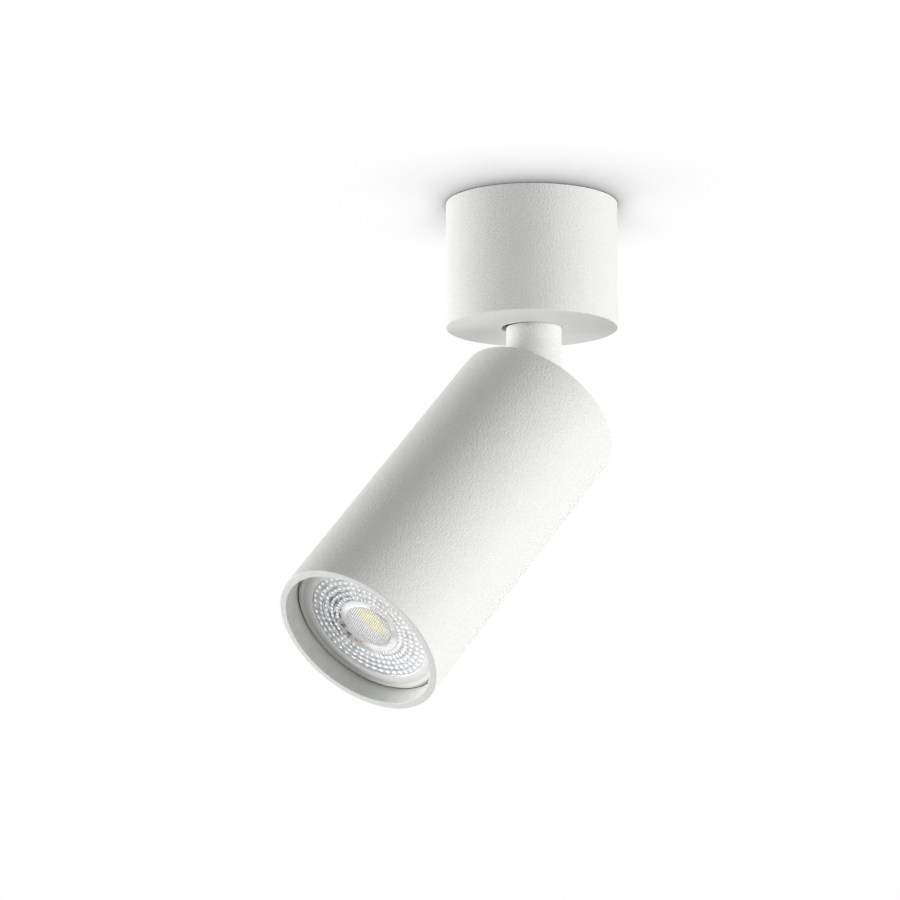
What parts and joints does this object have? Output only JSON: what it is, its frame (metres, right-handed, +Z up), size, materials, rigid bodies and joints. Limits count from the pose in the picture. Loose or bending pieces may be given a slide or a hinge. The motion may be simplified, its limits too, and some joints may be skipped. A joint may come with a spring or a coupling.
{
  "type": "surface mounted ceiling spotlight",
  "caption": "Cylindrical spotlight head on a swivelling, tilting stem below a round surface-mounted ceiling canopy, with a twist-base reflector lamp in its mouth.",
  "frame": {"origin": "on the stem's swivel axis, in the plane of the ceiling", "axes": "+Z up into the ceiling; the head leans towards -Y at rest and its hinge runs along X"},
  "size_m": [0.0607, 0.1324, 0.1828],
  "materials": {
    "white_paint": "matt fine-textured powder coat",
    "zinc_steel": "zinc-plated, satin",
    "screw_steel": "zinc-plated screw",
    "brass": "plain drawn brass",
    "nylon": "moulded nylon, natural white",
    "lead_brown": "silicone insulation",
    "lead_blue": "silicone insulation",
    "lead_green": "silicone insulation, green and yellow",
    "glass_sleeve": "woven glass-fibre sleeving",
    "carrier_aluminium": "white-coated turned aluminium",
    "ceramic": "unglazed steatite",
    "ring_plastic": "satin moulded plastic",
    "grip_rubber": "silicone rubber",
    "lamp_plastic": "satin moulded plastic",
    "lens_clear": "clear moulded optic with small lenses in rings",
    "board_white": "white solder mask on aluminium",
    "emitter_yellow": "phosphor in silicone",
    "chip_mixed": "small chips and copper pads",
    "heat_aluminium": "pressed aluminium",
    "driver_green": "solder mask",
    "driver_black": "sleeved capacitor and wound coil"
  },
  "bodies": {
    "canopy": {"canopy_shell": "white_paint", "ceiling_bracket": "zinc_steel", "canopy_grub_screws": "screw_steel", "stem_bridge": "zinc_steel", "bridge_screws": "screw_steel", "terminal_block": "nylon", "terminal_sleeves": "brass", "terminal_screws": "zinc_steel", "terminal_fixing_screw": "screw_steel", "earth_screw": "screw_steel", "earth_lug": "zinc_steel", "earth_lead": "lead_green", "line_lead_upper": "lead_brown", "neutral_lead_upper": "lead_blue", "swivel_friction_washer": "nylon", "swivel_stop_pin": "screw_steel"},
    "stem": {"stem": "white_paint", "stem_spring_washer": "zinc_steel", "stem_nut": "zinc_steel", "stem_lead_sleeve": "glass_sleeve", "pivot_screws": "screw_steel", "pivot_washers": "nylon"},
    "head": {"head_tube": "white_paint", "pivot_carrier": "carrier_aluminium", "carrier_retaining_ring": "screw_steel", "head_lead_sleeve": "glass_sleeve", "line_lead_lower": "lead_brown", "neutral_lead_lower": "lead_blue", "lampholder_bracket": "zinc_steel", "bracket_screws": "screw_steel", "lampholder": "ceramic", "holder_screws": "screw_steel", "holder_contacts": "brass", "retaining_ring": "ring_plastic", "grip_ring": "grip_rubber"},
    "lamp": {"lamp_housing": "lamp_plastic", "lamp_base": "lamp_plastic", "lamp_pins": "zinc_steel", "heat_spreader": "heat_aluminium", "lamp_board": "board_white", "board_parts": "chip_mixed", "led_emitter": "emitter_yellow", "lamp_lens": "lens_clear", "driver_board": "driver_green", "driver_parts": "driver_black"}
  },
  "joints": [
    {"name": "swivel", "type": "hinge", "parent": "canopy", "child": "stem", "pos_m": [0, 0, -0.0375], "axis": [0, 0, 1], "range_deg": [-165, 165]},
    {"name": "tilt", "type": "hinge", "parent": "stem", "child": "head", "pos_m": [0, 0, -0.0757], "axis": [-1, 0, 0], "range_deg": [-108.1, 21.9]},
    {"name": "lamp_twist", "type": "hinge", "parent": "head", "child": "lamp", "pos_m": [0, 0, -0.0757], "axis": [0, -0.6833, -0.7302], "range_deg": [0, 25]}
  ]
}
